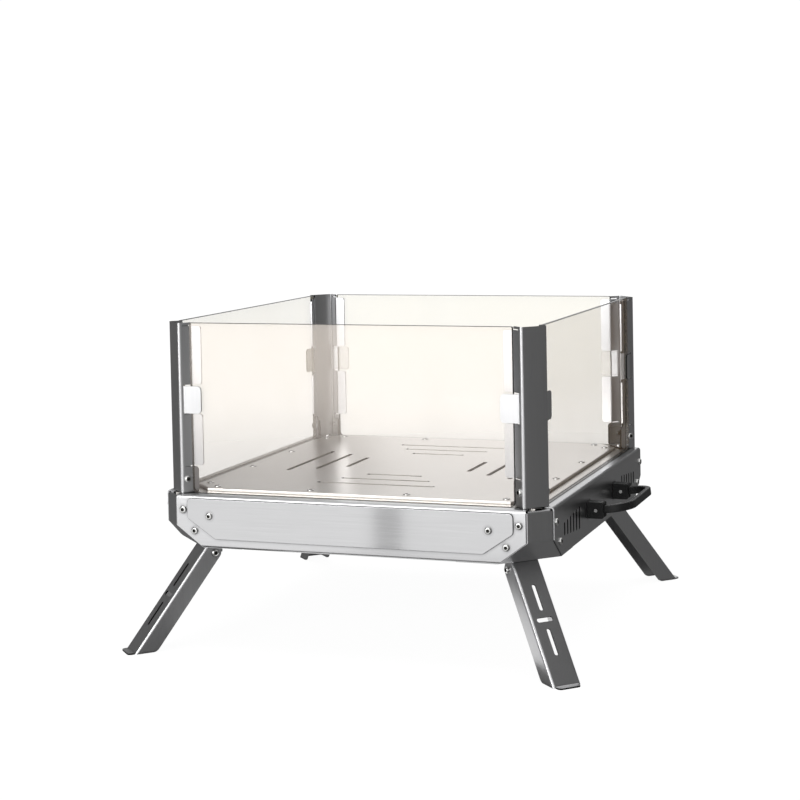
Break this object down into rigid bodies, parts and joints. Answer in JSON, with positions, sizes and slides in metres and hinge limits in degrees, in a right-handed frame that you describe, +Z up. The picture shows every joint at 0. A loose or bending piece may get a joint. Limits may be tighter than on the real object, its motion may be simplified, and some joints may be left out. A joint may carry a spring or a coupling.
{
  "type": "camping wood stove",
  "caption": "Square sheet-metal camping wood stove with a slotted fire plate, lift-out glass walls, folding bail handles and folding splayed legs.",
  "frame": {"origin": "on the ground under the middle of the stove", "axes": "+Z up, the front with the cover plate faces -Y, the handles are at +X and -X"},
  "size_m": [0.5002, 0.4774, 0.3305],
  "materials": {
    "brushed_steel": "satin brushed stainless sheet",
    "satin_steel": "satin stainless sheet",
    "plain_steel": "mill finish stainless sheet",
    "screw_steel": "bright stainless",
    "glass": "clear polished",
    "black_nylon": "matte",
    "black_coat": "matte black coat",
    "black_steel": "black oxide"
  },
  "bodies": {
    "base": {"back_panel": "brushed_steel", "bottom_pan": "plain_steel", "corner_back_left": "brushed_steel", "corner_back_right": "brushed_steel", "corner_front_left": "brushed_steel", "corner_front_right": "brushed_steel", "cover_plate": "brushed_steel", "cover_screws": "screw_steel", "fire_plate": "brushed_steel", "front_panel": "brushed_steel", "handle_block_left_a": "black_nylon", "handle_block_left_b": "black_nylon", "handle_block_right_a": "black_nylon", "handle_block_right_b": "black_nylon", "handle_pins_left": "black_steel", "handle_pins_right": "black_steel", "handle_screws": "screw_steel", "left_panel": "brushed_steel", "leg_bracket_back_left": "plain_steel", "leg_bracket_back_right": "plain_steel", "leg_bracket_front_left": "plain_steel", "leg_bracket_front_right": "plain_steel", "leg_bracket_screws": "screw_steel", "leg_pin_back_left": "screw_steel", "leg_pin_back_right": "screw_steel", "leg_pin_front_left": "screw_steel", "leg_pin_front_right": "screw_steel", "panel_screws": "screw_steel", "plate_screws": "screw_steel", "post_back_left": "brushed_steel", "post_back_right": "brushed_steel", "post_bracket_back_left": "plain_steel", "post_bracket_back_right": "plain_steel", "post_bracket_front_left": "plain_steel", "post_bracket_front_right": "plain_steel", "post_bracket_rivets": "screw_steel", "post_front_left": "brushed_steel", "post_front_right": "brushed_steel", "post_screws": "screw_steel", "right_panel": "brushed_steel", "top_frame": "brushed_steel"},
    "leg_front_left": {"leg_front_left": "satin_steel"},
    "leg_front_right": {"leg_front_right": "satin_steel"},
    "leg_back_right": {"leg_back_right": "satin_steel"},
    "leg_back_left": {"leg_back_left": "satin_steel"},
    "glass_front": {"glass_front": "glass"},
    "glass_right": {"glass_right": "glass"},
    "glass_back": {"glass_back": "glass"},
    "glass_left": {"glass_left": "glass"},
    "bail_left": {"bail_left": "black_coat"},
    "bail_right": {"bail_right": "black_coat"}
  },
  "joints": [
    {"name": "leg_fold_front_left", "type": "hinge", "parent": "base", "child": "leg_front_left", "pos_m": [-0.16639, -0.16639, 0.094], "axis": [0.7071, -0.7071, 0], "range_deg": [0, 127.5]},
    {"name": "leg_fold_front_right", "type": "hinge", "parent": "base", "child": "leg_front_right", "pos_m": [0.16639, -0.16639, 0.094], "axis": [0.7071, 0.7071, 0], "range_deg": [0, 127.5]},
    {"name": "leg_fold_back_right", "type": "hinge", "parent": "base", "child": "leg_back_right", "pos_m": [0.16639, 0.16639, 0.094], "axis": [-0.7071, 0.7071, 0], "range_deg": [0, 127.5]},
    {"name": "leg_fold_back_left", "type": "hinge", "parent": "base", "child": "leg_back_left", "pos_m": [-0.16639, 0.16639, 0.094], "axis": [-0.7071, -0.7071, 0], "range_deg": [0, 127.5]},
    {"name": "glass_lift_front", "type": "slide", "parent": "base", "child": "glass_front", "axis": [0, 0, 1], "range_m": [0, 0.175]},
    {"name": "glass_lift_right", "type": "slide", "parent": "base", "child": "glass_right", "axis": [0, 0, 1], "range_m": [0, 0.175]},
    {"name": "glass_lift_back", "type": "slide", "parent": "base", "child": "glass_back", "axis": [0, 0, 1], "range_m": [0, 0.175]},
    {"name": "glass_lift_left", "type": "slide", "parent": "base", "child": "glass_left", "axis": [0, 0, 1], "range_m": [0, 0.175]},
    {"name": "handle_fold_left", "type": "hinge", "parent": "base", "child": "bail_left", "pos_m": [-0.214, 0, 0.1318], "axis": [0, -1, 0], "range_deg": [0, 97]},
    {"name": "handle_fold_right", "type": "hinge", "parent": "base", "child": "bail_right", "pos_m": [0.214, 0, 0.1318], "axis": [0, 1, 0], "range_deg": [0, 97]}
  ]
}
